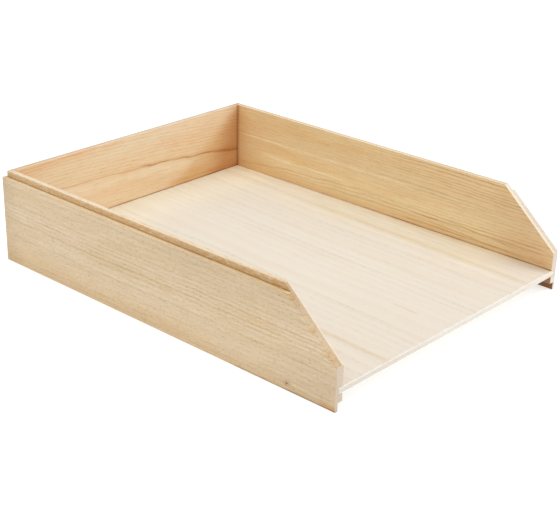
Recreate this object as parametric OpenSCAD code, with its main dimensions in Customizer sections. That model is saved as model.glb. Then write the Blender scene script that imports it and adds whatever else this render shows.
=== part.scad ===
// Stackable letter tray in light, straight-grained wood.
// Three boards with mitred back corners stand round a floor of three-ply, and the front is open.
// The boards' edges are lapped: the lip under one tray drops over the tongue on the tray below,
// and rests on the ledge beside that tongue.
// X runs across the width, Y from the open front to the back board, and Z is up.
// The origin is the centre of the footprint, on the surface that the tray stands on.

/* [Overall] */
// Width over the two side boards
tray_w = 246; // [180:1:360]
// Depth from the front ends to the outer face of the back board
tray_d = 320; // [200:1:480]
// Height from the table to the top of the stacking tongue
tray_h = 70.5; // [55:0.5:140]

/* [Boards] */
// Thickness of the side boards and the back board
board_t = 6.5; // [5.2:0.1:12]
// Height of the side boards at their front ends
front_h = 30.5; // [22:0.5:45]
// Length of the slope that rises from the front ends to the full height
slope_run = 45; // [15:1:90]

/* [Stacking edge] */
// Thickness of the tongue along the inner side of the top edge
tongue_t = 3.8; // [2:0.1:4.2]
// Height of the tongue above the ledge
tongue_h = 4.8; // [3:0.1:6.5]
// Sideways play between a lip and the tongue of the tray below
stack_gap = 0.2; // [0.1:0.05:0.5]
// Free height above the tongue of the tray below
stack_rise = 0.9; // [0.2:0.1:1.5]

/* [Floor] */
// Height of the underside of the floor above the table
floor_z = 11.5; // [10:0.5:15]
// Thickness of each face ply of the floor
face_ply_t = 1; // [0.5:0.1:1.5]
// Thickness of the core ply of the floor
core_ply_t = 2.5; // [1:0.1:3]
// Depth of the groove that the floor sits in
groove_d = 4; // [2:0.1:4.5]
// Space left for glue between the edge of the floor and the bottom of the groove
groove_gap = 0.2; // [0.1:0.05:0.5]

/* [Hidden] */

// Outer faces of the tray
side_x = tray_w / 2;
back_y = tray_d / 2;
front_y = -tray_d / 2;

// Lapped edge: the ledge is what the tongue leaves of the board, and the lip sits on it
ledge_w = board_t - tongue_t;
ledge_z = tray_h - tongue_h;
lip_t = ledge_w - stack_gap;
lip_h = tongue_h + stack_rise;

// Floor: three plies, let into the boards as far as the groove allows
floor_t = 2 * face_ply_t + core_ply_t;
floor_top_z = floor_z + floor_t;
groove_left = board_t - groove_d;
floor_inset = groove_left + groove_gap;

// How far a cutter reaches past the wood that it cuts
past = 5;

BOARD_COLOUR = [0.86, 0.77, 0.64];
BACK_COLOUR = [0.85, 0.74, 0.59];
FACE_PLY_COLOUR = [0.93, 0.88, 0.81];
CORE_PLY_COLOUR = [0.80, 0.70, 0.58];

// Cross-section of every board. X is the distance in from the outer face, and Y the height.
module board_section() {
    polygon([
        [0, 0],
        [lip_t, 0],
        [lip_t, lip_h],
        [board_t, lip_h],
        [board_t, floor_z],
        [groove_left, floor_z],
        [groove_left, floor_top_z],
        [board_t, floor_top_z],
        [board_t, tray_h],
        [ledge_w, tray_h],
        [ledge_w, ledge_z],
        [0, ledge_z]
    ]);
}

// Wedge behind the mitre of the left back corner: what the back board takes from the left board
module left_mitre_wedge() {
    translate([-side_x, back_y, -past])
    linear_extrude(tray_h + 2 * past)
    polygon([
        [-past, past],
        [board_t + past, past],
        [board_t + past, -board_t - past]
    ]);
}

// Wedge in front of the same mitre: what the left board takes from the back board
module left_mitre_heel() {
    translate([-side_x, back_y, -past])
    linear_extrude(tray_h + 2 * past)
    polygon([
        [-past, past],
        [-past, -board_t - past],
        [board_t + past, -board_t - past]
    ]);
}

// Wood above the slope at the front end of a side board, as wide as the whole tray
module front_slope() {
    slope_rise = tray_h - front_h;
    overrun = past / slope_run;
    translate([side_x + past, 0, 0])
    rotate([90, 0, -90])
    linear_extrude(tray_w + 2 * past)
    polygon([
        [-front_y + past, front_h - overrun * slope_rise],
        [-front_y - slope_run - past, tray_h + overrun * slope_rise],
        [-front_y + past, tray_h + overrun * slope_rise]
    ]);
}

// Left side board, with its slope at the front and its mitre at the back
module left_side_board() {
    color(BOARD_COLOUR)
    difference() {
        translate([-side_x, back_y, 0])
        rotate([90, 0, 0])
        linear_extrude(tray_d)
        board_section();
        left_mitre_wedge();
        front_slope();
    }
}

// Right side board: the left one seen in a mirror
module right_side_board() {
    mirror([1, 0, 0])
    left_side_board();
}

// Back board, mitred at both ends
module back_board() {
    color(BACK_COLOUR)
    difference() {
        translate([-side_x, back_y, 0])
        mirror([0, 1, 0])
        rotate([90, 0, 90])
        linear_extrude(tray_w)
        board_section();
        left_mitre_heel();
        mirror([1, 0, 0])
        left_mitre_heel();
    }
}

// One ply of the floor, from the flush front edge into the grooves of the three boards
module floor_ply(bottom_z, thickness) {
    ply_w = tray_w - 2 * floor_inset;
    ply_d = tray_d - floor_inset;
    translate([-ply_w / 2, front_y, bottom_z])
    cube([ply_w, ply_d, thickness]);
}

// Upper face ply, that the paper lies on
module floor_top_ply() {
    color(FACE_PLY_COLOUR)
    floor_ply(floor_z + face_ply_t + core_ply_t, face_ply_t);
}

// Core ply, with its grain across the tray
module floor_core_ply() {
    color(CORE_PLY_COLOUR)
    floor_ply(floor_z + face_ply_t, core_ply_t);
}

// Lower face ply
module floor_bottom_ply() {
    color(FACE_PLY_COLOUR)
    floor_ply(floor_z, face_ply_t);
}

left_side_board();
right_side_board();
back_board();
floor_top_ply();
floor_core_ply();
floor_bottom_ply();
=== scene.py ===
"""Studio scene of a stackable, open-front letter tray in pale, straight-grained wood.

Three mitred boards stand round a floor of three-ply. Each board's top edge is a ledge with a raised
tongue inside it, and its bottom edge is a lip that drops over the tongue of the tray below. The
boards are one lapped section carried round the tray, eased along its arrises and sawn apart at the
mitres. The plies are slabs carried across the tray. All lengths are in metres unless a name ends in
_mm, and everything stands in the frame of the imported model: +Y from the open front to the back,
+Z up, with the origin at the centre of the footprint on the table.
"""

import logging
import math
from dataclasses import dataclass, field
from enum import Enum
from typing import Any, Callable, Optional, Sequence, Union

import bmesh
import bpy
import numpy as np
from mathutils import Matrix, Vector


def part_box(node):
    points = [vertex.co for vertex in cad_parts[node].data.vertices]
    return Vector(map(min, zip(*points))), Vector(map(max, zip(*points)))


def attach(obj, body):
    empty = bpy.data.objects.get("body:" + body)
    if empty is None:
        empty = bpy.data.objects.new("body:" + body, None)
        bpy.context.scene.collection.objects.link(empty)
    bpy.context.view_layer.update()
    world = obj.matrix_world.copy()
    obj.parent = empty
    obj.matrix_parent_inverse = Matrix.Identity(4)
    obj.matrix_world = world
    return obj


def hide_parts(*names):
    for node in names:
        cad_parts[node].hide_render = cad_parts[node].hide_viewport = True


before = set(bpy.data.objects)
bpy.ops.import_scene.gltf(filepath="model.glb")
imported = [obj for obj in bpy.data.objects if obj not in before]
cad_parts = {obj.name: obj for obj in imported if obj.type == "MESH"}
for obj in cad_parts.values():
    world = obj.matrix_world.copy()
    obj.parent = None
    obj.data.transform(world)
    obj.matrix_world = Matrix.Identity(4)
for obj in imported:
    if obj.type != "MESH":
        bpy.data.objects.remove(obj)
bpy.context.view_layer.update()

LOG = logging.getLogger("letter_tray")
MM = 0.001
ON_PLANE = 1e-7
WELD = 1e-6
BODY = "root"

Number = Union[int, float]
Colour = tuple[float, float, float]


# ---------------------------------------------------------------------------------------------
# Shader arithmetic
# ---------------------------------------------------------------------------------------------


class Value:
    """A shader socket that takes part in Python arithmetic, one Math node to an operator."""

    def __init__(self, graph: "Graph", socket: bpy.types.NodeSocket) -> None:
        """Wraps an output socket.

        Args:
            graph: The node graph that the socket belongs to.
            socket: The output socket.
        """
        self.graph = graph
        self.socket = socket

    def math(self, operation: str, *others: Union["Value", Number], first: bool = True) -> "Value":
        """Adds a Math node.

        Args:
            operation: The Math node's operation.
            others: The other operands.
            first: Whether this value is the first operand. If not, it is the last.

        Returns:
            The node's result.
        """
        operands = dict(enumerate((self, *others) if first else (*others, self)))
        return self.graph.node("ShaderNodeMath", {"operation": operation}, operands)

    def __add__(self, other: Union["Value", Number]) -> "Value":
        """Sum."""
        return self.math("ADD", other)

    __radd__ = __add__

    def __mul__(self, other: Union["Value", Number]) -> "Value":
        """Product."""
        return self.math("MULTIPLY", other)

    __rmul__ = __mul__

    def __sub__(self, other: Union["Value", Number]) -> "Value":
        """Difference."""
        return self.math("SUBTRACT", other)

    def __rsub__(self, other: Number) -> "Value":
        """Difference, with this value taken away."""
        return self.math("SUBTRACT", other, first=False)

    def __truediv__(self, other: Union["Value", Number]) -> "Value":
        """Quotient."""
        return self.math("DIVIDE", other)

    def __rtruediv__(self, other: Number) -> "Value":
        """Quotient, with this value as the divisor."""
        return self.math("DIVIDE", other, first=False)

    def __abs__(self) -> "Value":
        """Size without its sign."""
        return self.math("ABSOLUTE")

    def least(self, other: Union["Value", Number]) -> "Value":
        """The smaller of two values."""
        return self.math("MINIMUM", other)

    def most(self, other: Union["Value", Number]) -> "Value":
        """The larger of two values."""
        return self.math("MAXIMUM", other)

    def root(self) -> "Value":
        """Square root."""
        return self.math("SQRT")

    def floor(self) -> "Value":
        """Whole part."""
        return self.math("FLOOR")

    def fraction(self) -> "Value":
        """What is left above the whole part."""
        return self.math("FRACT")

    def rise(self, low: Number, high: Number) -> "Value":
        """Eases from 0 at low to 1 at high, flat at both ends.

        Args:
            low: Where the rise starts.
            high: Where it ends.

        Returns:
            The eased value.
        """
        return self.graph.node(
            "ShaderNodeMapRange",
            {"interpolation_type": "SMOOTHSTEP"},
            {"Value": self, "From Min": low, "From Max": high},
        )

    def fall(self, low: Number, high: Number) -> "Value":
        """Eases from 1 at low to 0 at high."""
        return 1 - self.rise(low, high)


class Graph:
    """The node graph of one material, in the terms of a woodworker's measurements."""

    def __init__(self, name: str) -> None:
        """Makes an empty material.

        Args:
            name: The material's name.
        """
        self.material = bpy.data.materials.new(name)
        self.material.use_nodes = True
        self.tree = self.material.node_tree
        self.tree.nodes.clear()

    def node(
        self,
        kind: str,
        settings: Optional[dict[str, Any]] = None,
        inputs: Optional[dict[Union[str, int], Any]] = None,
        output: Union[str, int] = 0,
    ) -> Value:
        """Adds a node of any type.

        Args:
            kind: The node's type.
            settings: The node's own settings, set first.
            inputs: Values or links by socket name or number.
            output: The output that is returned.

        Returns:
            The chosen output.
        """
        made = self.tree.nodes.new(kind)
        for key, value in (settings or {}).items():
            setattr(made, key, value)
        for key, value in (inputs or {}).items():
            if isinstance(value, Value):
                self.tree.links.new(value.socket, made.inputs[key])
            else:
                made.inputs[key].default_value = value
        return Value(self, made.outputs[output])

    def surface(self, shader: Value) -> bpy.types.Material:
        """Ends the graph at a shader.

        Args:
            shader: The surface's shader.

        Returns:
            The material.
        """
        end = self.tree.nodes.new("ShaderNodeOutputMaterial")
        self.tree.links.new(shader.socket, end.inputs["Surface"])
        return self.material

    def vector(self, operation: str, *operands: Any) -> Value:
        """Adds a Vector Math node on vectors."""
        inputs = dict(enumerate(operands))
        return self.node("ShaderNodeVectorMath", {"operation": operation}, inputs)

    def noise(
        self, where: Value, size_mm: Sequence[float], detail: float = 2.0, seed: float = 0.0
    ) -> Value:
        """Smooth noise about 0, from about -0.5 to 0.5, with its own grain size along each axis.

        Args:
            where: The place in millimetres.
            size_mm: The size of a noise cell along each axis of the place.
            detail: How many finer octaves are laid over it.
            seed: A shift that picks another stretch of the noise.

        Returns:
            The noise.
        """
        cells = self.vector("MULTIPLY", where, tuple(1.0 / size for size in size_mm))
        shifted = self.vector("ADD", cells, (seed, seed * 1.7, seed * 2.3))
        inputs = {"Vector": shifted, "Scale": 1.0, "Detail": detail}
        return self.node("ShaderNodeTexNoise", {}, inputs) - 0.5

    def mix(self, factor: Union[Value, Number], a: Any, b: Any, blend: str = "MIX") -> Value:
        """Mixes two colours.

        Args:
            factor: How much of the second colour there is.
            a: The first colour.
            b: The second colour.
            blend: The Mix node's blend type.

        Returns:
            The mixed colour.
        """
        both = [c if isinstance(c, Value) else (*c, 1.0) for c in (a, b)]
        return self.node(
            "ShaderNodeMix",
            {"data_type": "RGBA", "blend_type": blend, "clamp_factor": True},
            {0: factor, 6: both[0], 7: both[1]},
            output=2,
        )

    def tinted(self, weight: Union[Value, Number], colour: Any, tint: Any) -> Value:
        """Multiplies a colour by a tint, as far as the weight from 0 to 1 says."""
        return self.mix(weight, colour, tint, "MULTIPLY")


# ---------------------------------------------------------------------------------------------
# Wood
# ---------------------------------------------------------------------------------------------


class Grain(Enum):
    """How the pattern's axes (along the fibres, across the face, through it) lie in the frame."""

    SIDE_BOARD = (1, 2, 0)
    BACK_BOARD = (0, 2, 1)
    FACE_PLY = (1, 0, 2)
    CORE_PLY = (0, 1, 2)


class Layer(Enum):
    """The noise drawn out along the grain: its cells in millimetres, octaves and seed's shift."""

    SWAY = ((150, 34, 34), 1.0, 0)
    THREADS = ((18, 1.4, 1.4), 2.0, 9)
    VESSELS = ((7, 0.9, 0.9), 2.0, 13)
    PATCHES = ((60, 14, 14), 1.0, 21)
    STAINS = ((130, 15, 15), 2.0, 31)
    FIBRES = ((14, 0.6, 0.6), 3.0, 41)
    PORES = ((3.2, 0.55, 0.55), 1.0, 51)
    CLOUDS = ((24, 7, 7), 2.0, 71)


@dataclass(frozen=True)
class Ramp:
    """A strength that eases from a least value to 1 between two places.

    Attributes:
        least: The strength at the low place and beyond it.
        low_mm: Where it is least.
        high_mm: Where it reaches 1. It may be the smaller of the two.
    """

    least: float = 1.0
    low_mm: float = 0.0
    high_mm: float = 1.0

    def at(self, place: Value) -> Value:
        """The strength at a place."""
        return place.rise(self.low_mm, self.high_mm) * (1.0 - self.least) + self.least


@dataclass(frozen=True)
class Streak:
    """A stripe of other colour that follows the grain. Places are millimetres on the face.

    Attributes:
        across_mm: Where its middle lies across the grain.
        half_mm: Half of its width, at which it has faded out.
        start_mm: Where it starts along the grain.
        end_mm: Where it ends along the grain.
        tint: The colour that it multiplies the wood by.
        strength: How much of the tint is laid on, from 0 to 1.
        tilt: How far its middle moves across the grain for each millimetre along it. None takes
            the wood's own.
        bow: The same for each square millimetre, so that it bends.
        wander_mm: How far it strays from its middle.
        ease_share: The share of its length over which it fades at each end.
    """

    across_mm: float
    half_mm: float
    start_mm: float
    end_mm: float
    tint: Colour
    strength: float = 0.5
    tilt: Optional[float] = None
    bow: Optional[float] = None
    wander_mm: float = 1.0
    ease_share: float = 0.12


@dataclass(frozen=True)
class EndTone:
    """A tone that changes towards one end of a piece, behind a slanting front. On the back board it
    is the painted shadow of the right board, with painted shade deepening into the corner.

    Attributes:
        along_mm: Where the front stands at height 0 across the grain.
        lean: How far the front moves along the grain for each millimetre across it.
        fade_mm: How far behind the front the wood reaches its full tint.
        tint: The colour that it multiplies the wood by.
    """

    along_mm: float
    lean: float
    fade_mm: float
    tint: Colour


@dataclass(frozen=True)
class Knot:
    """A pin knot: a dark speck in a stained halo.

    Attributes:
        along_mm: Its place on the face along the grain.
        across_mm: Its place across the grain.
        radius_mm: Radius of the speck.
        tint: The colour that it multiplies the wood by.
    """

    along_mm: float
    across_mm: float
    radius_mm: float
    tint: Colour


@dataclass(frozen=True)
class Wood:
    """Bare sanded wood, figured by growth rings that run through the whole piece.

    A growth ring is a shell round the pith, and the pith lies outside the piece. The distance from
    the pith, bent by slow noise and divided by the ring width, gives the place within a ring. Each
    ring darkens slowly and ends sharply, and every ring has its own strength.

    Attributes:
        name: The material's name.
        grain: How the fibres lie.
        pale: Colour of the early wood.
        dark: Tint of the line that ends a ring.
        blush: Tint of the broad stains that lie along the grain.
        cream: Tint of the pale patches between them.
        ring_mm: Average width of a ring.
        line_from: Where the dark line starts within a ring, from 0 to 1.
        line_peak: Where it is darkest.
        pith_mm: Where the pith lies, across the face and through it.
        tilt: Slope of the grain across the face, for each millimetre along it.
        bow: Bend of the grain, for each square millimetre along it.
        sway_mm: How far the slow waves carry a ring line aside.
        ripple_mm: How far the short waves do.
        ripple_long_mm: How long the short waves are.
        line_strength: How strongly the ring lines show.
        line_along: How their strength changes along the grain.
        line_across: How it changes across the grain.
        blush_strength: How strongly the stains and pale patches show.
        fibre_strength: How strongly the fibres show.
        pore_strength: How strongly the pores show away from the ring lines.
        streaks: Stripes at chosen places.
        end_tones: Tones that change towards one end; on the back board, painted shadow.
        knots: Knots at chosen places.
        top_pale: Tint of the tongue's top.
        ledge_pale: Tint of the ledge.
        end_pale: Tint of the end grain.
        end_dark: Tint of the ring lines on the end grain.
        end_lines: How much stronger the ring lines are on the end grain.
        square_end: Colour of the sanded front end.
        torn: How strongly torn fibres show along the slope's outer edge.
        seam: How dark the glue line and painted shade along the floor are.
        seam_shade_along: How its darkness changes along the grain.
        seed: Picks the stretch of noise.
    """

    name: str
    grain: Grain
    pale: Colour
    dark: Colour = (0.80, 0.72, 0.60)
    blush: Colour = (0.97, 0.90, 0.80)
    cream: Colour = (1.02, 1.04, 1.06)
    ring_mm: float = 3.4
    line_from: float = 0.45
    line_peak: float = 0.90
    pith_mm: tuple[float, float] = (-260.0, 60.0)
    tilt: float = 0.0
    bow: float = 0.0
    sway_mm: float = 6.0
    ripple_mm: float = 2.0
    ripple_long_mm: float = 26.0
    line_strength: float = 0.6
    line_along: Ramp = Ramp()
    line_across: Ramp = Ramp()
    blush_strength: float = 0.6
    fibre_strength: float = 0.22
    pore_strength: float = 0.12
    streaks: tuple[Streak, ...] = ()
    end_tones: tuple[EndTone, ...] = ()
    knots: tuple[Knot, ...] = ()
    top_pale: Colour = (0.88, 0.91, 1.0)
    ledge_pale: Colour = (1.0, 1.0, 1.0)
    end_pale: Colour = (0.95, 0.93, 0.90)
    end_dark: Colour = (0.90, 0.74, 0.56)
    end_lines: float = 1.6
    square_end: Colour = (0.60, 0.54, 0.47)
    torn: float = 0.0
    seam: float = 1.0
    seam_shade_along: Ramp = Ramp()
    seed: float = 0.0

    def material(self, marks: Sequence["Mark"] = ()) -> bpy.types.Material:
        """Builds the finish.

        Args:
            marks: Further layers of colour, such as sawn faces, each from the graph and the colour.

        Returns:
            The material.
        """
        graph = WoodGraph(self)
        colour = graph.figured()
        for mark in marks:
            colour = mark(graph, colour)
        return graph.finished(colour)


class WoodGraph(Graph):
    """The node graph of one wood.

    Attributes:
        FIBRE_TINT: Tint of the fibres.
        PORE_TINT: Tint of the pores.
        RING_SPREAD: How many rings slow noise spreads the rings over.
        RAGGED_MM: How far the front of an end tone strays.
        BUMP_STRENGTH: How strongly the relief shows.
        BUMP_DEEP: Its depth.
        ROUGHNESS: Roughness between the ring lines.
        LINE_POLISH: How much less of it the ring lines have.
        SPECULAR: Level of the mirror reflection.
    """

    FIBRE_TINT: Colour = (0.80, 0.73, 0.62)
    PORE_TINT: Colour = (0.66, 0.56, 0.42)
    RING_SPREAD: float = 2.6
    RAGGED_MM: float = 14.0
    BUMP_STRENGTH: float = 0.5
    BUMP_DEEP: float = 0.08 * MM
    ROUGHNESS: float = 0.66
    LINE_POLISH: float = 0.08
    SPECULAR: float = 0.3

    def __init__(self, wood: Wood) -> None:
        """Finds the place within the wood, in millimetres along, across and through the grain.

        Args:
            wood: The wood to draw.
        """
        super().__init__(wood.name)
        self.wood = wood
        coordinates = self.node("ShaderNodeTexCoord", output="Object")
        self.place = self.vector("MULTIPLY", coordinates, (1 / MM,) * 3)
        self.normal = self.node("ShaderNodeTexCoord", output="Normal")
        self.xyz = self.parts(self.place)
        self.normal_xyz = self.parts(self.normal)
        along, across, through = (self.xyz[axis] for axis in wood.grain.value)
        self.along, self.across, self.through = along, across, through
        self.grain_place = self.node("ShaderNodeCombineXYZ", {}, {0: along, 1: across, 2: through})
        self.flow = across - along * wood.tilt - along * along * wood.bow
        self.sway = self.grained(Layer.SWAY)
        self.ripple = self.noise(self.grain_place, (wood.ripple_long_mm, 9, 9), 2.0, wood.seed + 5)
        self.end = abs(self.normal_xyz[wood.grain.value[0]]).rise(0.35, 0.6)
        patchy = self.grained(Layer.PATCHES) * 1.6 + 1.0
        ramps = wood.line_along.at(along) * wood.line_across.at(across)
        self.line = self.ring_line() * patchy * ramps
        self.fibre = self.grained(Layer.FIBRES)
        self.pore = self.grained(Layer.PORES).rise(0.04, 0.24)

    def grained(self, layer: Layer) -> Value:
        """The noise of a layer, about 0."""
        size_mm, detail, shift = layer.value
        return self.noise(self.grain_place, size_mm, detail, self.wood.seed + shift)

    def inset(self, half_wide: float) -> Value:
        """Distance in from the outer face of a side board, in millimetres."""
        return half_wide / MM - abs(self.xyz[0])

    def parts(self, vector: Value) -> list[Value]:
        """Takes a vector apart into its three numbers."""
        return [self.node("ShaderNodeSeparateXYZ", {}, {0: vector}, output=i) for i in range(3)]

    def ring_line(self) -> Value:
        """The ring lines: 0 in the early wood, rising to the ring's own strength at its end.

        The distance from the pith is the root of the sum of squares of the two offsets across the
        fibres. Divided by the ring width it gives ring numbers, which slow noise spreads and
        squeezes. The fraction of a ring number is the place in the ring, and its whole part picks
        the ring's strength. Short dashes of noise break the line up into rows of vessels.

        Returns:
            The line's strength at each place.
        """
        wood = self.wood
        bent = self.flow + self.sway * wood.sway_mm + self.ripple * wood.ripple_mm
        aside = bent - wood.pith_mm[0]
        deep = self.through - wood.pith_mm[1]
        radius = (aside * aside + deep * deep).root()
        from_pith = self.node("ShaderNodeCombineXYZ", {}, {0: radius})
        spread = self.noise(from_pith, (wood.ring_mm * 5, 1, 1), 1.0, wood.seed)
        number = radius / wood.ring_mm + spread * self.RING_SPREAD
        place = number.fraction()
        own = self.node(
            "ShaderNodeTexWhiteNoise", {"noise_dimensions": "1D"}, {"W": number.floor() + wood.seed}
        )
        ended = place.fall(wood.line_peak + 0.03, 1.0)
        line = place.rise(wood.line_from, wood.line_peak) * ended
        dashes = self.grained(Layer.VESSELS).rise(-0.30, 0.22)
        return line * (own * 0.75 + 0.25) * (dashes * 0.7 + 0.3)

    def stripe(self, streak: Streak) -> Value:
        """How much of a streak's tint lies at each place.

        Its middle is a parabola along the grain, and it fades to nothing at half its width to each
        side and over its own share of its length at the ends.

        Args:
            streak: The streak.

        Returns:
            Its weight.
        """
        tilt = self.wood.tilt if streak.tilt is None else streak.tilt
        bow = self.wood.bow if streak.bow is None else streak.bow
        middle = self.along * tilt + self.along * self.along * bow + streak.across_mm
        off = abs(self.across + self.ripple * streak.wander_mm * 2.0 - middle)
        ease = streak.ease_share * (streak.end_mm - streak.start_mm)
        begun = self.along.rise(streak.start_mm, streak.start_mm + ease)
        ended = self.along.fall(streak.end_mm - ease, streak.end_mm)
        thread = self.grained(Layer.THREADS)
        core = off.fall(0.0, streak.half_mm)
        return core * begun * ended * (thread * 1.6 + 1.0) * streak.strength

    def speck(self, colour: Value, knot: Knot) -> Value:
        """Lays a knot over the colour: a dark middle in a halo over four times as wide.

        Args:
            colour: The colour so far.
            knot: The knot.

        Returns:
            The colour with the knot.
        """
        along = (self.along - knot.along_mm) / 1.5
        across = self.across - knot.across_mm
        wobble = self.noise(self.grain_place, (1.2, 0.6, 0.6), 2.0, 3.0) * 0.9
        distance = (along * along + across * across).root() / knot.radius_mm + wobble
        halo = self.tinted(distance.fall(0.6, 5.0) * 0.25, colour, knot.tint)
        return self.tinted(distance.fall(0.5, 1.1) * 0.85, halo, knot.tint)

    def figured(self) -> Value:
        """The wood's colour: stains, ring lines, fibres and pores, then streaks, end tones and
        knots.

        Returns:
            The colour.
        """
        wood = self.wood
        broad = self.grained(Layer.STAINS)
        stained = wood.blush_strength
        colour = self.tinted(broad.rise(0.0, 0.22) * stained, wood.pale, wood.blush)
        colour = self.tinted(broad.fall(-0.22, 0.0) * stained, colour, wood.cream)
        cloud = self.grained(Layer.CLOUDS).rise(-0.1, 0.3)
        colour = self.tinted(cloud * stained * 0.5, colour, wood.blush)
        line_tint = self.mix(self.end, wood.dark, wood.end_dark)
        shown = self.line * wood.line_strength * (self.end * (wood.end_lines - 1.0) + 1.0)
        colour = self.tinted(shown, colour, line_tint)
        fibres = self.fibre.rise(-0.25, 0.30) * wood.fibre_strength
        colour = self.tinted(fibres, colour, self.FIBRE_TINT)
        pores = self.pore * (self.line * 0.5 + wood.pore_strength)
        colour = self.tinted(pores, colour, self.PORE_TINT)

        for streak in wood.streaks:
            colour = self.tinted(self.stripe(streak), colour, streak.tint)
        # End tones, which on the back board are painted shadow.
        for end_tone in wood.end_tones:
            front = self.along - self.across * end_tone.lean - end_tone.along_mm
            front = front + self.ripple * self.RAGGED_MM
            colour = self.tinted(front.rise(0.0, end_tone.fade_mm), colour, end_tone.tint)
        for knot in wood.knots:
            colour = self.speck(colour, knot)
        return self.mix(self.end, colour, self.tinted(1.0, colour, wood.end_pale))

    def finished(self, colour: Value) -> bpy.types.Material:
        """Dresses a matt, open-pored surface with the colour.

        Ring lines stand proud by a few hundredths of a millimetre, and fibres and pores are finer.

        Args:
            colour: The base colour.

        Returns:
            The material.
        """
        height = self.line * 0.35 + self.fibre * 0.5 - self.pore * 0.6
        relief = {"Strength": self.BUMP_STRENGTH, "Distance": self.BUMP_DEEP, "Height": height}
        bump = self.node("ShaderNodeBump", {}, relief)
        shader = self.node(
            "ShaderNodeBsdfPrincipled",
            {},
            {
                "Base Color": colour,
                "Roughness": self.ROUGHNESS - self.line * self.LINE_POLISH,
                "Specular IOR Level": self.SPECULAR,
                "Normal": bump,
            },
        )
        return self.surface(shader)


Mark = Callable[[WoodGraph, Value], Value]


# ---------------------------------------------------------------------------------------------
# Shapes
# ---------------------------------------------------------------------------------------------


def carried(section: np.ndarray, stations: np.ndarray) -> tuple[np.ndarray, list[list[int]]]:
    """Carries a closed section along stations, and closes the two ends.

    The surface is a grid: row i is the section as placed at station i, column j its j-th point. The
    point is the sum, over the section's coordinates and a constant 1, of each times the station's
    vector for it.

    Args:
        section: The section's n points, two coordinates each.
        stations: For each of the m stations, three vectors: those that the section's first and
            second coordinates are multiplied by, and the station's own place. Shape (m, 3, 3).

    Returns:
        The m * n points and the faces.
    """
    rows, columns = len(stations), len(section)
    weights = np.column_stack([section, np.ones(columns)])
    points = np.einsum("jk,ikc->ijc", weights, stations).reshape(-1, 3)
    i, j = np.meshgrid(np.arange(rows - 1), np.arange(columns), indexing="ij")
    after = (j + 1) % columns
    row, next_row = i * columns, (i + 1) * columns
    quads = np.stack([row + j, row + after, next_row + after, next_row + j], axis=-1)
    first = list(range(columns))
    last = list(range((rows - 1) * columns, rows * columns))[::-1]
    return points, quads.reshape(-1, 4).tolist() + [first, last]


def solid(points: np.ndarray, faces: list[list[int]]) -> bmesh.types.BMesh:
    """Makes a closed shell whose faces point outwards.

    Args:
        points: The points.
        faces: The faces as lists of point numbers.

    Returns:
        The shell.
    """
    mesh = bpy.data.meshes.new("shell")
    mesh.from_pydata(points.tolist(), [], faces)
    shell = bmesh.new()
    shell.from_mesh(mesh)
    bpy.data.meshes.remove(mesh)
    bmesh.ops.recalc_face_normals(shell, faces=shell.faces)
    return shell


def sawn(shell: bmesh.types.BMesh, point: Vector, outward: Vector) -> None:
    """Saws a shell along a plane, throws away the side that outward points to, and closes the cut.

    Args:
        shell: The shell, changed in place.
        point: A point on the plane.
        outward: The plane's normal.
    """
    everything = [*shell.verts, *shell.edges, *shell.faces]
    cut = bmesh.ops.bisect_plane(
        shell, geom=everything, dist=ON_PLANE, plane_co=point, plane_no=outward, clear_outer=True
    )
    edges = [e for e in cut["geom_cut"] if isinstance(e, bmesh.types.BMEdge)]
    bmesh.ops.holes_fill(shell, edges=edges, sides=0)
    bmesh.ops.recalc_face_normals(shell, faces=shell.faces)


def placed(name: str, shell: bmesh.types.BMesh) -> bpy.types.Object:
    """Puts a shell into the scene as an object at the origin.

    Args:
        name: The object's name.
        shell: The shell, which is freed.

    Returns:
        The object.
    """
    mesh = bpy.data.meshes.new(name)
    shell.to_mesh(mesh)
    shell.free()
    piece = bpy.data.objects.new(name, mesh)
    bpy.context.scene.collection.objects.link(piece)
    return piece


def shaded_soft(piece: bpy.types.Object, crease_deg: float = 40.0) -> None:
    """Shades a piece smoothly across its eased arrises and sharply at its sawn edges.

    Args:
        piece: The piece.
        crease_deg: The angle between two faces above which their edge stays sharp.
    """
    piece.data.polygons.foreach_set("use_smooth", np.ones(len(piece.data.polygons), bool))
    piece.data.set_sharp_from_angle(angle=math.radians(crease_deg))
    weighted = piece.modifiers.new("face_normals", "WEIGHTED_NORMAL")
    weighted.keep_sharp = True
    weighted.weight = 100


def fitted(piece: bpy.types.Object, node: str, finish: bpy.types.Material) -> None:
    """Gives a piece its finish and its place in the model.

    Args:
        piece: The piece.
        node: The CAD node that it stands for.
        finish: Its material.
    """
    piece.data.materials.clear()
    piece.data.materials.append(finish)
    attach(piece, BODY)
    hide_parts(node)
    LOG.info("%s stands for %s, %d faces", piece.name, node, len(piece.data.polygons))


# ---------------------------------------------------------------------------------------------
# The tray
# ---------------------------------------------------------------------------------------------


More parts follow.
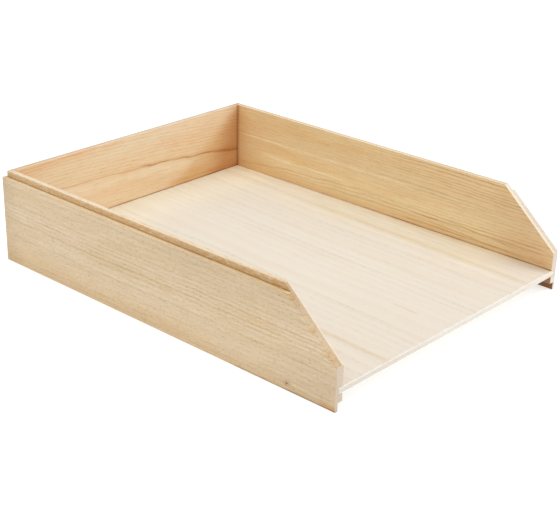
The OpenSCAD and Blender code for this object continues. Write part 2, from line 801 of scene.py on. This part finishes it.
@dataclass
class Boards:
    """The left, right and back boards.

    In the marks, places are millimetres. Each rise or fall gives the two places, or the two
    components of the face's normal, between which a mark fades in or out.

    Attributes:
        tongue_thick: Thickness of the tongue.
        tongue_high: Height of the tongue above the ledge.
        lip_play: How much thinner the lip is than the ledge is wide.
        lip_rise: How much higher the lip is than the tongue.
        front_high: Height of the front ends.
        slope_run: Length of the slope behind them.
        groove_deep: Depth of the groove for the floor.
        arris: Radius of the eased arrises.
        slope_arris: Radius along the outer edges of the slopes, which wear most.
        slope_inner_share: Share of that radius along their inner edges.
        mouth_share: Share of the first radius at the mouth of the groove.
        arris_faces: Faces across each eased arris.
        flat_deg: Angle between two faces below which their edge isn't eased.
        milled_tint: Tint of the faces that the cutter left rough.
        glue_and_shade_tint: Tint of the glue lines, and of the painted shade in corners, creases
            and recesses.
        wear_and_highlight_tone: Colour of the inner arrises: sanding wear with a painted highlight.
        handled_tone: Colour of the front ends' outer arrises.
        ring_tint: Tint of the growth rings on the front ends.
        torn_tint: Tint of torn fibres.
        chip_tint: Tint of the pale chips between them.
        under_floor_shade_tint: Tint of the painted shade on the faces below the floor.
    """

    tongue_thick: float = 3.8 * MM
    tongue_high: float = 4.8 * MM
    lip_play: float = 0.2 * MM
    lip_rise: float = 0.9 * MM
    front_high: float = 30.5 * MM
    slope_run: float = 45 * MM
    groove_deep: float = 4 * MM
    arris: float = 0.5 * MM
    slope_arris: float = 1.1 * MM
    slope_inner_share: float = 0.8
    mouth_share: float = 0.3
    arris_faces: int = 4
    flat_deg: float = 20.0
    milled_tint: Colour = (0.88, 0.70, 0.48)
    # Dark glue lines, and painted shade in corners, creases and recesses.
    glue_and_shade_tint: Colour = (0.55, 0.38, 0.25)
    # Sanding wear on the inner arrises, with a painted highlight on them.
    wear_and_highlight_tone: Colour = (0.90, 0.81, 0.66)
    handled_tone: Colour = (0.74, 0.56, 0.45)
    ring_tint: Colour = (0.86, 0.83, 0.80)
    torn_tint: Colour = (1.0, 0.76, 0.48)
    chip_tint: Colour = (1.10, 1.14, 1.16)
    # Painted shade on the faces under the floor.
    under_floor_shade_tint: Colour = (0.24, 0.13, 0.08)

    def __post_init__(self) -> None:
        """Reads the tray's outline and the board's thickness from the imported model."""
        left_low, left_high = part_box("left_side_board")
        right_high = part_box("right_side_board")[1]
        self.thick = left_high.x - left_low.x
        self.half_wide = right_high.x
        self.front = left_low.y
        self.back = left_high.y
        self.high = left_high.z
        self.groove_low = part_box("floor_bottom_ply")[0].z
        self.groove_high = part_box("floor_top_ply")[1].z
        self.ledge_wide = self.thick - self.tongue_thick
        self.ledge_high = self.high - self.tongue_high
        self.lip_thick = self.ledge_wide - self.lip_play
        self.lip_high = self.tongue_high + self.lip_rise
        slope_rise = self.high - self.front_high
        slope_long = math.hypot(slope_rise, self.slope_run)
        self.slope_sine, self.slope_cosine = slope_rise / slope_long, self.slope_run / slope_long

    def section(self) -> np.ndarray:
        """The lapped section: distance in from the outer face, and height.

        Returns:
            Its twelve corners in order.
        """
        groove = self.thick - self.groove_deep
        return np.array(
            [
                (0, 0),
                (self.lip_thick, 0),
                (self.lip_thick, self.lip_high),
                (self.thick, self.lip_high),
                (self.thick, self.groove_low),
                (groove, self.groove_low),
                (groove, self.groove_high),
                (self.thick, self.groove_high),
                (self.thick, self.high),
                (self.ledge_wide, self.high),
                (self.ledge_wide, self.ledge_high),
                (0, self.ledge_high),
            ]
        )

    def stations(self) -> np.ndarray:
        """The four stations of the path round the tray: front left, the two corners, front right.

        At a corner the section's first coordinate moves a point inwards along both sides of the
        corner at once, which is what a mitre does.

        Returns:
            Three vectors for each station, as carried() takes them.
        """
        w, f, b = self.half_wide, self.front, self.back
        up = (0, 0, 1)
        return np.array(
            [
                [(1, 0, 0), up, (-w, f, 0)],
                [(1, -1, 0), up, (-w, b, 0)],
                [(-1, -1, 0), up, (w, b, 0)],
                [(-1, 0, 0), up, (w, f, 0)],
            ],
            float,
        )

    def ring(self) -> bmesh.types.BMesh:
        """The three boards in one, with the slopes sawn and the arrises eased.

        Returns:
            The shell.
        """
        shell = solid(*carried(self.section(), self.stations()))
        slope_top = Vector((0, self.front + self.slope_run, self.high))
        slope = Vector((0, -(self.high - self.front_high), self.slope_run)).normalized()
        sawn(shell, slope_top, slope)
        weight = shell.edges.layers.float.new("bevel_weight_edge")
        for edge in shell.edges:
            edge[weight] = self.easing(edge)
        whole = placed("boards_in_one", shell)
        bevel = whole.modifiers.new("eased_arrises", "BEVEL")
        bevel.limit_method = "WEIGHT"
        bevel.width = self.slope_arris
        bevel.segments = self.arris_faces
        bevel.use_clamp_overlap = True
        eased = bmesh.new()
        eased.from_object(whole, bpy.context.evaluated_depsgraph_get())
        bpy.data.objects.remove(whole)
        return eased

    def easing(self, edge: bmesh.types.BMEdge) -> float:
        """How strongly an edge is eased: the slopes' outer edges most, the groove's mouth least.

        Args:
            edge: An edge of the sharp shell.

        Returns:
            The share of the largest radius.
        """
        usual = self.arris / self.slope_arris
        flat = math.radians(self.flat_deg)
        if len(edge.link_faces) != 2 or edge.calc_face_angle_signed() < flat:
            return 0.0
        tiny = 0.01 * MM
        depths = [v.co.y for v in edge.verts]
        heights = [v.co.z for v in edge.verts]
        if all(self.groove_low - tiny < z < self.groove_high + tiny for z in heights):
            front_end = all(abs(y - self.front) < tiny for y in depths)
            return 0.0 if front_end else self.mouth_share * usual
        sloping = min(abs(heights[0] - heights[1]), abs(depths[0] - depths[1])) > tiny
        insets = [self.half_wide - abs(v.co.x) for v in edge.verts]
        if sloping and max(insets) < tiny:
            return 1.0
        return self.slope_inner_share if sloping and min(insets) > self.thick - tiny else usual

    def board(
        self, name: str, ring: bmesh.types.BMesh, cuts: Sequence[tuple[Vector, Vector]]
    ) -> bpy.types.Object:
        """Saws one board out of the ring.

        Args:
            name: The board's name.
            ring: The three boards in one.
            cuts: The planes to saw along, as a point and an outward normal each.

        Returns:
            The board.
        """
        shell = ring.copy()
        for point, outward in cuts:
            sawn(shell, point, outward)
        bmesh.ops.remove_doubles(shell, verts=shell.verts, dist=WELD)
        piece = placed(name, shell)
        shaded_soft(piece)
        return piece

    def build(self) -> dict[str, bpy.types.Object]:
        """Builds the three boards.

        Returns:
            The boards by the names of their CAD nodes.
        """
        ring = self.ring()
        middle, side = Vector((0, 0, 0)), Vector((1, 0, 0))
        left_corner = Vector((-self.half_wide, self.back, 0))
        right_corner = Vector((self.half_wide, self.back, 0))
        left_mitre = Vector((1, 1, 0)).normalized()
        right_mitre = Vector((-1, 1, 0)).normalized()
        left_cuts = [(middle, side), (left_corner, left_mitre)]
        right_cuts = [(middle, -side), (right_corner, right_mitre)]
        back_cuts = [(left_corner, -left_mitre), (right_corner, -right_mitre)]
        made = {
            "left_side_board": self.board("left_board", ring, left_cuts),
            "right_side_board": self.board("right_board", ring, right_cuts),
            "back_board": self.board("back_panel_board", ring, back_cuts),
        }
        ring.free()
        return made

    def dress(self, made: dict[str, bpy.types.Object]) -> None:
        """Gives each board its wood, with the marks of making and use, and painted shade and
        highlights.

        Args:
            made: The boards by the names of their CAD nodes.
        """
        marks = (
            self.milled,
            self.topped,
            self.jointed_and_shaded,
            self.sawn_ends,
            self.torn_slopes,
            self.worn_and_highlit_arrises,
            self.shaded_hollow,
        )
        for node, piece in made.items():
            slot, wood = BOARD_WOODS[node]
            fitted(piece, node, wood.material(marks))

    def milled(self, graph: WoodGraph, colour: Value) -> Value:
        """Darkens the tongue's outer face, as the cutter left it, and the corner at its foot.

        Args:
            graph: The wood's graph.
            colour: The colour so far.

        Returns:
            The colour with the milled faces.
        """
        x, y, z = graph.xyz
        inset_x = abs(x) - (self.half_wide - self.ledge_wide) / MM
        inset_y = y - (self.back - self.ledge_wide) / MM
        face = inset_x.most(inset_y).rise(-0.35, -0.1) * graph.normal_xyz[2].fall(0.2, 0.7)
        foot_z, top_z = self.ledge_high / MM, self.high / MM
        face = face * z.rise(foot_z - 0.05, foot_z + 0.05) * z.fall(top_z - 0.6, top_z - 0.2)
        tone = graph.noise(graph.grain_place, (5, 1.2, 1.2), 4.0, 61.0)
        colour = graph.tinted(face * (tone * 4.4 + 0.85), colour, self.milled_tint)
        foot = face * z.fall(foot_z + 0.2, foot_z + 1.2)
        return graph.tinted(foot * 0.5, colour, self.glue_and_shade_tint)

    def topped(self, graph: WoodGraph, colour: Value) -> Value:
        """Tints the tops of the tongues, and the ledges beside them.

        Args:
            graph: The wood's graph.
            colour: The colour so far.

        Returns:
            The colour with the tops.
        """
        z, up = graph.xyz[2], graph.normal_xyz[2].rise(0.80, 0.95)
        ledge_z = self.ledge_high / MM
        top = up * z.rise(ledge_z + 1, ledge_z + 2)
        colour = graph.tinted(top, colour, graph.wood.top_pale)
        ledge = up * abs(z - ledge_z).fall(0.5, 0.8)
        return graph.tinted(ledge, colour, graph.wood.ledge_pale)

    def jointed_and_shaded(self, graph: WoodGraph, colour: Value) -> Value:
        """Draws the glue hairlines along the mitres, painted shade in the inner corners beside
        them, and a dark line along the floor that is partly glue line and partly painted shade.

        The distance from the mitre is the difference of the insets from the two outer faces, over
        the root of two.

        Args:
            graph: The wood's graph.
            colour: The colour so far.

        Returns:
            The colour with the lines and the painted shade.
        """
        x, y, z = graph.xyz
        off = abs(graph.inset(self.half_wide) - (self.back / MM - y)) * math.sqrt(0.5)
        inner_x = abs(x) - (self.half_wide - self.thick) / MM
        inner_y = y - (self.back - self.thick) / MM
        inside = inner_x.most(inner_y).fall(0.1, 0.3)
        # Painted shade in the inner corner beside the mitre, fading out over about two millimetres.
        colour = graph.tinted(off.fall(0.1, 2.2) * inside * 0.5, colour, self.glue_and_shade_tint)
        above = z - self.groove_high / MM
        patchy = graph.noise(graph.grain_place, (20, 20, 20), 1.0, 77.0) * 1.5 + 0.8
        dark = graph.wood.seam_shade_along.at(graph.along) * graph.wood.seam
        # Where the floor meets the board: a glue line with painted shade in that corner.
        seam = above.rise(-0.3, 0.0) * above.fall(0.6, 1.5) * patchy
        colour = graph.tinted(seam * inside * dark, colour, self.glue_and_shade_tint)
        return graph.tinted(off.fall(0.05, 0.25) * 0.5, colour, self.glue_and_shade_tint)

    def sawn_ends(self, graph: WoodGraph, colour: Value) -> Value:
        """Bleaches the front ends, which were cut square and sanded, against the sloping cut.

        Args:
            graph: The wood's graph.
            colour: The colour so far.

        Returns:
            The colour with the front ends.
        """
        at_front = graph.xyz[1].fall(self.front / MM + 1, self.front / MM + 2)
        square = graph.normal_xyz[1].fall(-0.95, -0.80) * at_front
        colour = graph.mix(square * 0.65, colour, graph.wood.square_end)
        rings = graph.noise(graph.place, (1.1, 60, 26), 1.0, graph.wood.seed + 91).rise(0.0, 0.2)
        return graph.tinted(square * rings * 0.6, colour, self.ring_tint)

    def torn_slopes(self, graph: WoodGraph, colour: Value) -> Value:
        """Draws the torn fibres and pale chips that the saw left along the slopes' outer edges.

        The depth below the slope's plane is the distance behind the front end times the slope's
        sine, less the height above it times the cosine.

        Args:
            graph: The wood's graph.
            colour: The colour so far.

        Returns:
            The colour with the torn fibres.
        """
        if not graph.wood.torn:
            return colour
        x, y, z = graph.xyz
        behind = (y - self.front / MM) * self.slope_sine
        above = (z - self.front_high / MM) * self.slope_cosine
        outer = (abs(x) - self.half_wide / MM).rise(-4.2, -2.0)
        near = (behind - above).fall(1.2, 3.4) * outer
        dashes = graph.noise(graph.place, (9, 30, 1.7), 2.0, graph.wood.seed + 83).rise(0.0, 0.22)
        colour = graph.tinted(near * dashes * graph.wood.torn, colour, self.torn_tint)
        chips = graph.noise(graph.place, (9, 18, 2.4), 2.0, graph.wood.seed + 87).rise(0.02, 0.2)
        return graph.tinted(near * chips * graph.wood.torn, colour, self.chip_tint)

    def slope_facing(self, graph: WoodGraph) -> Value:
        """How squarely a face lies to the slope: the product of its normal and the slope's."""
        return graph.normal_xyz[2] * self.slope_cosine - graph.normal_xyz[1] * self.slope_sine

    def worn_and_highlit_arrises(self, graph: WoodGraph, colour: Value) -> Value:
        """Lightens the inner eased arrises, as sanding wear with a painted highlight, and stains
        the front ones.

        A flat face's normal has a component near 1 along an axis or square to the slope. On an
        arris none of them reaches 1, and what the largest lacks marks the arris. An inner arris is
        one that leans towards the middle of the tray.

        Args:
            graph: The wood's graph.
            colour: The colour so far.

        Returns:
            The colour with the worn and highlit arrises.
        """
        x, y, z = graph.normal_xyz
        slope = self.slope_facing(graph)
        eased_edge = abs(x).most(abs(y)).most(abs(z)).most(slope).fall(0.90, 0.985)
        if graph.wood.grain is not Grain.SIDE_BOARD:
            # On the back board: sanding wear with a painted highlight on the arrises that face into
            # the tray.
            return graph.mix(eased_edge * y.fall(-0.4, -0.1) * 0.45, colour, self.wear_and_highlight_tone)
        outward = x * graph.xyz[0].math("SIGN")
        front_top = self.front_high / MM
        inner = outward.fall(-0.4, -0.1) * graph.xyz[2].rise(front_top - 2, front_top)
        # Painted highlight, with sanding wear, on the inner arrises above the height of the front
        # ends.
        colour = graph.mix(eased_edge * inner * 0.7, colour, self.wear_and_highlight_tone)
        from_inner = graph.inset(self.half_wide) - self.thick / MM
        strip = slope.rise(0.80, 0.95) * from_inner.rise(-1.9, -1.1)
        # A pale strip along the slope's inner edge, in the same tone of wear and painted highlight.
        colour = graph.mix(strip * 0.4, colour, self.wear_and_highlight_tone)
        handled = eased_edge * outward.rise(0.2, 0.5) * y.fall(-0.5, -0.2) * abs(z).fall(0.2, 0.4)
        return graph.mix(handled * 0.5, colour, self.handled_tone)

    def shaded_hollow(self, graph: WoodGraph, colour: Value) -> Value:
        """Paints shade on the faces below the floor, inside the boards, deepest near the open front
        and in the recess behind the lip.

        Args:
            graph: The wood's graph.
            colour: The colour so far.

        Returns:
            The colour with the painted shade.
        """
        y, z = graph.xyz[1:]
        past_lip = graph.inset(self.half_wide).least(self.back / MM - y) - self.lip_thick / MM
        front_shade_weight = y.fall(self.front / MM + 25, self.front / MM + 110) * 0.6 + 0.4
        inside = past_lip.rise(-0.5, -0.1) * front_shade_weight
        if graph.wood.grain is Grain.SIDE_BOARD:
            inside = inside * abs(graph.normal_xyz[1]).fall(0.5, 0.9)
        below = (z - self.groove_low / MM).fall(-0.3, 0.3)
        # Painted shade on the faces under the floor, deepest near the open front.
        colour = graph.tinted(below * inside * 0.8, colour, self.under_floor_shade_tint)
        recess = (z - self.lip_high / MM).fall(-0.4, 0.4)
        # Deeper painted shade in the recess behind the lip.
        return graph.tinted(recess * inside * 0.75, colour, self.glue_and_shade_tint)


@dataclass
class FloorPly:
    """One ply of the floor, a slab carried across the tray.

    Attributes:
        node: The CAD node that it stands for.
        name: The piece's name.
        slot: The record's material slot.
        ease_top: Radius at the top of the front edge.
        ease_bottom: Radius at the bottom of the front edge.
        shy: How far the front edge stands back from the front ends of the boards.
        steps: Points along each quarter round.
    """

    node: str
    name: str
    slot: str
    ease_top: float = 0.0
    ease_bottom: float = 0.0
    shy: float = 0.0
    steps: int = 5

    def section(self) -> np.ndarray:
        """The section from front to back: depth along Y, and height, with quarter-round edges.

        Each quarter round is an arc of the given radius about a centre that far in from the edge.

        Returns:
            Its corners in order.
        """
        low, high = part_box(self.node)
        front = low.y + self.shy
        turn = np.linspace(0, math.pi / 2, self.steps)
        corners = []
        for radius, z, sign in ((self.ease_bottom, low.z, -1), (self.ease_top, high.z, 1)):
            along = turn if sign < 0 else turn[::-1]
            depths = front + radius * (1 - np.sin(along))
            heights = z - sign * radius * (1 - np.cos(along))
            corners.append(np.column_stack([depths, heights]) if radius else [(front, z)])
        return np.vstack([*corners, [(high.y, high.z), (high.y, low.z)]])

    def build(self) -> bpy.types.Object:
        """Builds the ply.

        Returns:
            The piece.
        """
        low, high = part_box(self.node)
        stations = np.array([[(0, 1, 0), (0, 0, 1), (x, 0, 0)] for x in (low.x, high.x)], float)
        piece = placed(self.name, solid(*carried(self.section(), stations)))
        shaded_soft(piece)
        return piece


@dataclass
class PlyFloor:
    """The floor: two face plies with a core between them, flush at the open front.

    Attributes:
        eased: Radius of the face plies' outer front edges.
        core_shy: How far the core stands back at the front.
    """

    eased: float = 0.35 * MM
    core_shy: float = 0.06 * MM

    def plies(self) -> list[FloorPly]:
        """The three plies, from the top down."""
        return [
            FloorPly("floor_top_ply", "floor_top_veneer", "face_ply", ease_top=self.eased),
            FloorPly("floor_core_ply", "floor_core_veneer", "core_ply", shy=self.core_shy),
            FloorPly("floor_bottom_ply", "floor_bottom_veneer", "face_ply", ease_bottom=self.eased),
        ]

    def build(self) -> list[tuple[FloorPly, bpy.types.Object]]:
        """Builds the plies.

        Returns:
            Each ply with its piece.
        """
        return [(ply, ply.build()) for ply in self.plies()]

    def dress(self, made: list[tuple[FloorPly, bpy.types.Object]]) -> None:
        """Gives each ply its wood. The two face plies share one finish.

        Args:
            made: Each ply with its piece.
        """
        finishes = {slot: wood.material() for slot, wood in PLY_WOODS.items()}
        for ply, piece in made:
            fitted(piece, ply.node, finishes[ply.slot])


# ---------------------------------------------------------------------------------------------
# Finishes
# ---------------------------------------------------------------------------------------------

LEFT_WOOD = Wood(
    name="left_board_wood",
    grain=Grain.SIDE_BOARD,
    pale=(0.735, 0.59, 0.406),
    dark=(0.62, 0.53, 0.42),
    blush=(0.94, 0.89, 0.80),
    cream=(1.04, 1.06, 1.12),
    ring_mm=3.0,
    ripple_mm=1.9,
    ripple_long_mm=16.0,
    line_from=0.25,
    line_peak=0.70,
    line_strength=0.56,
    line_along=Ramp(0.75, 120, -120),
    line_across=Ramp(0.35, 8, 40),
    blush_strength=0.85,
    fibre_strength=0.60,
    pore_strength=0.60,
    seed=1.0,
    streaks=(
        Streak(3.0, 9.0, -190, 200, (0.93, 0.86, 0.74), 0.8),
        Streak(1.5, 3.0, -190, -146, (0.92, 0.70, 0.46), 1.0),
        # Painted contact shadow along the bottom edge, towards the front.
        Streak(0.0, 2.2, -190, -70, (0.50, 0.38, 0.28), 0.9, wander_mm=0.3),
        Streak(5.5, 2.2, -150, -124, (1.10, 1.16, 1.26), 0.9),
        Streak(62.0, 26.0, -240, 40, (0.90, 0.88, 0.84), 0.9, ease_share=0.3),
        Streak(12.0, 30.0, -260, -90, (0.88, 0.88, 0.89), 0.9, ease_share=0.4),
        Streak(30.0, 11.0, -60, 140, (1.03, 1.07, 1.12), 0.8),
        Streak(10.0, 6.0, -70, 170, (1.02, 0.98, 0.90), 0.8),
        Streak(38.0, 7.0, -128, -70, (0.98, 0.93, 0.84), 0.8, ease_share=0.4),
    ),
    end_tones=(EndTone(136.0, 0.0, 26.0, (0.90, 0.90, 0.89)),),
    knots=(Knot(-121, 5.2, 0.60, (0.16, 0.11, 0.08)),),
    top_pale=(1.01, 1.05, 1.13),
    ledge_pale=(1.10, 1.08, 0.96),
    end_pale=(0.76, 0.74, 0.73),
    end_dark=(0.98, 0.78, 0.58),
    end_lines=0.6,
    square_end=(0.60, 0.515, 0.426),
    torn=0.8,
    seam=0.5,
)
RIGHT_WOOD = Wood(
    name="right_board_wood",
    grain=Grain.SIDE_BOARD,
    pale=(0.875, 0.66, 0.382),
    dark=(0.62, 0.49, 0.35),
    blush=(0.96, 0.87, 0.75),
    cream=(1.0, 1.06, 1.10),
    ring_mm=2.6,
    ripple_mm=1.7,
    line_strength=1.15,
    line_along=Ramp(0.3, 30, -60),
    line_across=Ramp(0.4, 34, 50),
    blush_strength=0.8,
    fibre_strength=0.52,
    pore_strength=0.28,
    seed=4.0,
    streaks=(
        Streak(46.4, 1.6, -40, 165, (1.10, 1.20, 1.40), 1.0, wander_mm=0.7),
        Streak(33.4, 1.7, 30, 130, (1.08, 1.16, 1.34), 0.9, wander_mm=0.7),
        Streak(17.0, 7.0, -190, 190, (0.96, 0.87, 0.76), 0.5),
        Streak(32.0, 16.0, -125, 135, (1.07, 1.15, 1.21), 0.9),
        Streak(65.0, 9.0, -30, 150, (1.02, 1.09, 1.14), 0.9),
        Streak(50.0, 50.0, -290, -66, (0.84, 0.80, 0.79), 0.9, ease_share=0.4),
        Streak(24.0, 14.0, -260, -90, (0.94, 0.88, 0.84), 0.8, ease_share=0.4),
        Streak(29.0, 1.0, -158, -60, (0.84, 0.66, 0.52), 0.7, wander_mm=1.8),
        Streak(26.0, 1.2, -158, -30, (0.86, 0.68, 0.54), 0.7, wander_mm=1.8),
        Streak(30.0, 1.0, -150, 160, (0.80, 0.66, 0.52), 0.6, bow=-0.00040, wander_mm=1.6),
        Streak(27.0, 0.9, -120, 120, (0.82, 0.68, 0.54), 0.5, bow=-0.00042, wander_mm=1.6),
        Streak(23.5, 0.9, -160, 90, (0.80, 0.66, 0.52), 0.6, bow=-0.00030, wander_mm=1.6),
        Streak(20.0, 1.2, -165, -20, (0.82, 0.68, 0.54), 0.6, wander_mm=1.6),
    ),
    end_tones=(EndTone(136.0, 0.06, 20.0, (0.94, 0.82, 0.69)),),
    top_pale=(0.72, 0.78, 0.96),
    ledge_pale=(0.74, 0.84, 1.15),
    # This board's end grain and front end are paler and greyer than the left board's: partly
    # painted light, as this side stands nearer the light.
    end_pale=(0.80, 0.95, 1.38),
    end_dark=(0.98, 0.95, 0.90),
    square_end=(0.67, 0.594, 0.54),
    seam=0.95,
    seam_shade_along=Ramp(0.35, 35, -25),
)
BACK_WOOD = Wood(
    name="back_board_wood",
    grain=Grain.BACK_BOARD,
    pale=(0.825, 0.615, 0.391),
    dark=(0.74, 0.60, 0.47),
    blush=(0.96, 0.85, 0.76),
    cream=(1.0, 1.07, 1.12),
    tilt=-0.05,
    bow=-0.00031,
    ring_mm=2.5,
    ripple_mm=1.6,
    line_strength=0.60,
    line_across=Ramp(0.4, 38, 50),
    blush_strength=0.9,
    fibre_strength=0.42,
    pore_strength=0.22,
    seed=7.0,
    streaks=(
        Streak(42.4, 1.3, -110, 40, (0.74, 0.58, 0.44), 0.35, wander_mm=3.2),
        Streak(42.2, 1.3, 0, 140, (0.62, 0.46, 0.34), 0.65, wander_mm=3.6),
        Streak(43.2, 3.2, -20, 140, (0.92, 0.80, 0.66), 0.6, wander_mm=2.0),
        Streak(36.5, 6.0, -130, 96, (1.04, 1.15, 1.28), 1.0, wander_mm=3.0),
        Streak(22.0, 2.5, 30, 130, (0.94, 0.80, 0.64), 0.6, tilt=-0.03, bow=0.0, wander_mm=2.0),
        Streak(64.0, 14.0, -70, 190, (0.99, 1.04, 1.13), 0.9, tilt=0.0, bow=0.0, ease_share=0.35),
        Streak(50.0, 40.0, -200, 60, (0.98, 1.02, 1.06), 0.8, tilt=0.0, bow=0.0),
    ),
    # Painted shadow of the right board, widening towards the floor, and painted shade deepening
    # into the right corner.
    end_tones=(
        EndTone(0.7, 1.55, 26.0, (0.91, 0.79, 0.62)),
        EndTone(63.0, 0.45, 30.0, (0.90, 0.73, 0.64)),
    ),
    top_pale=(0.69, 0.77, 0.95),
    ledge_pale=(0.78, 0.86, 1.05),
)
FACE_PLY_WOOD = Wood(
    name="face_ply_wood",
    grain=Grain.FACE_PLY,
    pale=(0.655, 0.592, 0.512),
    dark=(0.88, 0.86, 0.82),
    blush=(0.98, 0.95, 0.89),
    cream=(1.01, 1.02, 1.03),
    tilt=0.052,
    ring_mm=9.0,
    line_from=0.1,
    sway_mm=10.0,
    line_strength=0.6,
    fibre_strength=0.14,
    pore_strength=0.07,
    seed=11.0,
    streaks=(
        Streak(-65.0, 4.0, -165, -90, (0.92, 0.83, 0.70), 0.6),
        Streak(0.0, 2.0, -135, -110, (0.92, 0.82, 0.70), 0.6),
        Streak(94.0, 7.0, -170, 60, (0.95, 0.90, 0.80), 0.7),
        # Near the right board: the floor lifted as painted light against the board's shade, then
        # tinted warm as painted bounce from the board.
        Streak(124.0, 62.0, -150, 230, (1.28, 1.28, 1.19), 0.9, tilt=0.0),
        Streak(119.0, 15.0, -220, 20, (0.95, 0.87, 0.74), 0.9, tilt=0.0, ease_share=0.25),
    ),
    end_tones=(
        EndTone(-150.0, 0.0, 120.0, (1.02, 1.035, 1.035)),
        EndTone(95.0, 0.0, 70.0, (1.16, 1.18, 1.10)),
    ),
    end_pale=(1.12, 1.20, 1.32),
    end_dark=(0.92, 0.90, 0.86),
)
CORE_PLY_WOOD = Wood(
    name="core_ply_wood",
    grain=Grain.CORE_PLY,
    pale=(0.66, 0.60, 0.52),
    dark=(0.84, 0.78, 0.70),
    blush=(0.95, 0.90, 0.84),
    end_tones=(EndTone(-70.0, 0.0, 60.0, (1.09, 1.12, 1.14)),),
    seed=15.0,
)

# The record's material slot and the wood of each board, and the wood of each slot of the floor.
BOARD_WOODS = {
    "left_side_board": ("side_boards", LEFT_WOOD),
    "right_side_board": ("side_boards", RIGHT_WOOD),
    "back_board": ("back_board", BACK_WOOD),
}
PLY_WOODS = {"face_ply": FACE_PLY_WOOD, "core_ply": CORE_PLY_WOOD}


# ---------------------------------------------------------------------------------------------
# Studio
# ---------------------------------------------------------------------------------------------


@dataclass
class Camera:
    """The viewpoint, as angles about a point near the middle of the tray.

    Attributes:
        azimuth_deg: Angle round the tray. 0 looks along +Y and 90 along -X.
        elevation_deg: Angle above the table.
        roll_deg: How far the horizon is turned.
        distance: From the aim.
        aim: The point that the camera looks at.
        lens_mm: Focal length.
        sensor_mm: Width of the sensor.
    """

    azimuth_deg: float = -48.04
    elevation_deg: float = 23.89
    roll_deg: float = -1.26
    distance: float = 953.7 * MM
    aim: tuple[float, float, float] = (4.3 * MM, 2.0 * MM, 10.3 * MM)
    lens_mm: float = 83.55
    sensor_mm: float = 36.0

    def build(self) -> None:
        """Makes the camera and sets it as the scene's."""
        azimuth, elevation = math.radians(self.azimuth_deg), math.radians(self.elevation_deg)
        back = Vector(
            (
                math.sin(azimuth) * math.cos(elevation),
                -math.cos(azimuth) * math.cos(elevation),
                math.sin(elevation),
            )
        )
        data = bpy.data.cameras.new("camera")
        data.lens = self.lens_mm
        data.sensor_width = self.sensor_mm
        camera = bpy.data.objects.new("camera", data)
        turn = (-back).to_track_quat("-Z", "Y").to_matrix().to_4x4()
        roll = Matrix.Rotation(-math.radians(self.roll_deg), 4, "Z")
        place = Vector(self.aim) + back * self.distance
        camera.matrix_world = Matrix.Translation(place) @ turn @ roll
        bpy.context.scene.collection.objects.link(camera)
        bpy.context.scene.camera = camera


@dataclass
class Softbox:
    """A square area light that shines at the tray.

    Attributes:
        name: The light's name.
        place: Its middle.
        aim: What it shines at.
        size: The length of its side.
        power: Its power in watts.
        colour: Its colour.
    """

    name: str
    place: tuple[float, float, float]
    aim: tuple[float, float, float]
    size: float
    power: float
    colour: Colour = (1.0, 1.0, 1.0)

    def build(self) -> None:
        """Makes the light."""
        data = bpy.data.lights.new(self.name, "AREA")
        data.size = self.size
        data.energy = self.power
        data.color = self.colour
        lamp = bpy.data.objects.new(self.name, data)
        lamp.location = self.place
        beam = Vector(self.aim) - Vector(self.place)
        lamp.rotation_euler = beam.to_track_quat("-Z", "Y").to_euler()
        bpy.context.scene.collection.objects.link(lamp)


@dataclass
class Studio:
    """A white tent of light over a plain pale floor.

    Attributes:
        tent: Brightness of the white all round.
        floor_grey: How much light the floor gives back.
        floor_glow: How brightly it is lit from below, as a light table is.
        floor_half: Half the floor's side.
        floor_drop: How far the floor lies below the tray's feet.
        lights: The softboxes.
    """

    tent: float = 0.7
    floor_grey: float = 0.50
    floor_glow: float = 0.66
    floor_half: float = 4.0
    floor_drop: float = 0.05 * MM
    lights: list[Softbox] = field(
        default_factory=lambda: [
            Softbox("overhead_softbox", (0.0, 0.0, 2.4), (0.0, 0.0, 0.0), 3.0, 43.0),
            Softbox("front_softbox", (1.14, -1.98, 0.74), (0.0, 0.0, 0.02), 1.0, 10.0),
            Softbox("side_softbox", (0.65, -0.55, 0.85), (0.0, 0.0, 0.02), 0.5, 1.8),
        ]
    )

    def build(self) -> None:
        """Makes the world, the floor and the lights."""
        scene = bpy.context.scene
        world = bpy.data.worlds.new("tent")
        world.use_nodes = True
        background = world.node_tree.nodes["Background"]
        background.inputs["Color"].default_value = (1.0, 1.0, 1.0, 1.0)
        background.inputs["Strength"].default_value = self.tent
        scene.world = world
        scene.view_settings.view_transform = "Standard"
        half = self.floor_half
        corners = np.array([(-half, -half), (half, -half), (half, half), (-half, half)])
        points = np.column_stack([corners, np.full(4, -self.floor_drop)])
        mesh = bpy.data.meshes.new("studio_floor")
        mesh.from_pydata(points.tolist(), [], [[0, 1, 2, 3]])
        floor = bpy.data.objects.new("studio_floor", mesh)
        scene.collection.objects.link(floor)
        graph = Graph("studio_floor")
        paper = graph.node(
            "ShaderNodeBsdfPrincipled",
            {},
            {
                "Base Color": (self.floor_grey,) * 3 + (1.0,),
                "Roughness": 0.9,
                "Specular IOR Level": 0.1,
                "Emission Color": (1.0, 1.0, 1.0, 1.0),
                "Emission Strength": self.floor_glow,
            },
        )
        mesh.materials.append(graph.surface(paper))
        for light in self.lights:
            light.build()


# ---------------------------------------------------------------------------------------------
# Assembly
# ---------------------------------------------------------------------------------------------


def main() -> None:
    """Builds the studio and the tray."""
    logging.basicConfig(level=logging.INFO, format="%(name)s: %(message)s")
    Camera().build()
    Studio().build()
    for assembly in (Boards(), PlyFloor()):
        assembly.dress(assembly.build())


if __name__ == "__main__":
    main()
